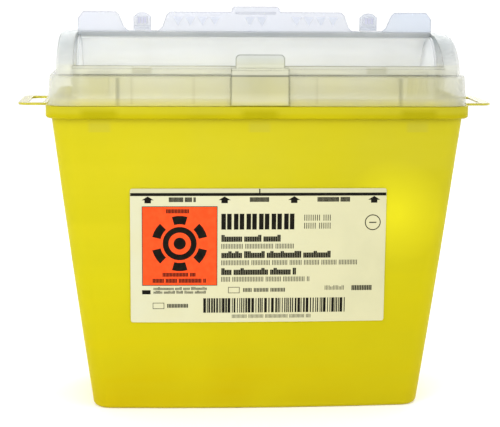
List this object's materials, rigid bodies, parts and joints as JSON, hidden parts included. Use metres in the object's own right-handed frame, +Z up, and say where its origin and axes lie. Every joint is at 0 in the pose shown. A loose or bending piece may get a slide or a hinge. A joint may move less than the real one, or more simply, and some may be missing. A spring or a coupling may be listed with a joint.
{
  "type": "sharps container",
  "caption": "Tall tapered translucent tub with side loop handles and a frosted lid that snaps in place, whose turning drop drum is tipped by a push flap.",
  "frame": {"origin": "middle of the footprint, on the surface that the container stands on", "axes": "+X to the right seen from the front, +Y back towards the wall, +Z up"},
  "size_m": [0.318, 0.118, 0.2676],
  "materials": {
    "tub_plastic": "translucent yellow polypropylene, satin",
    "lid_plastic": "frosted clear polypropylene",
    "drum_plastic": "frosted clear polypropylene",
    "label_film": "printed cream film"
  },
  "bodies": {
    "tub": {"tub": "tub_plastic", "front_label": "label_film", "side_handle_left": "tub_plastic", "side_handle_right": "tub_plastic"},
    "lid": {"lid": "lid_plastic"},
    "centre_catch": {"centre_catch": "lid_plastic"},
    "drum": {"drop_drum": "drum_plastic", "push_flap": "drum_plastic", "drum_end_left": "drum_plastic", "drum_end_right": "drum_plastic"},
    "lock_tab_left": {"lock_tab_left": "drum_plastic"},
    "lock_tab_right": {"lock_tab_right": "drum_plastic"}
  },
  "joints": [
    {"name": "lid_lift", "type": "slide", "parent": "tub", "child": "lid", "axis": [0, 0, 1], "range_m": [0, 0.08]},
    {"name": "drum_turn", "type": "hinge", "parent": "lid", "child": "drum", "pos_m": [0, -0.0102, 0.2213], "axis": [1, 0, 0], "range_deg": [0, 77]},
    {"name": "lock_flex_left", "type": "hinge", "parent": "drum", "child": "lock_tab_left", "pos_m": [-0.0765, -0.0083, 0.25165], "axis": [1, 0, 0], "range_deg": [-10, 0], "stiffness_Nm_per_rad": 0.06},
    {"name": "lock_flex_right", "type": "hinge", "parent": "drum", "child": "lock_tab_right", "pos_m": [0.0765, -0.0083, 0.25165], "axis": [1, 0, 0], "range_deg": [-10, 0], "stiffness_Nm_per_rad": 0.06},
    {"name": "catch_flex", "type": "hinge", "parent": "lid", "child": "centre_catch", "pos_m": [0, -0.0575, 0.2056], "axis": [1, 0, 0], "range_deg": [0, 8], "stiffness_Nm_per_rad": 0.5}
  ]
}
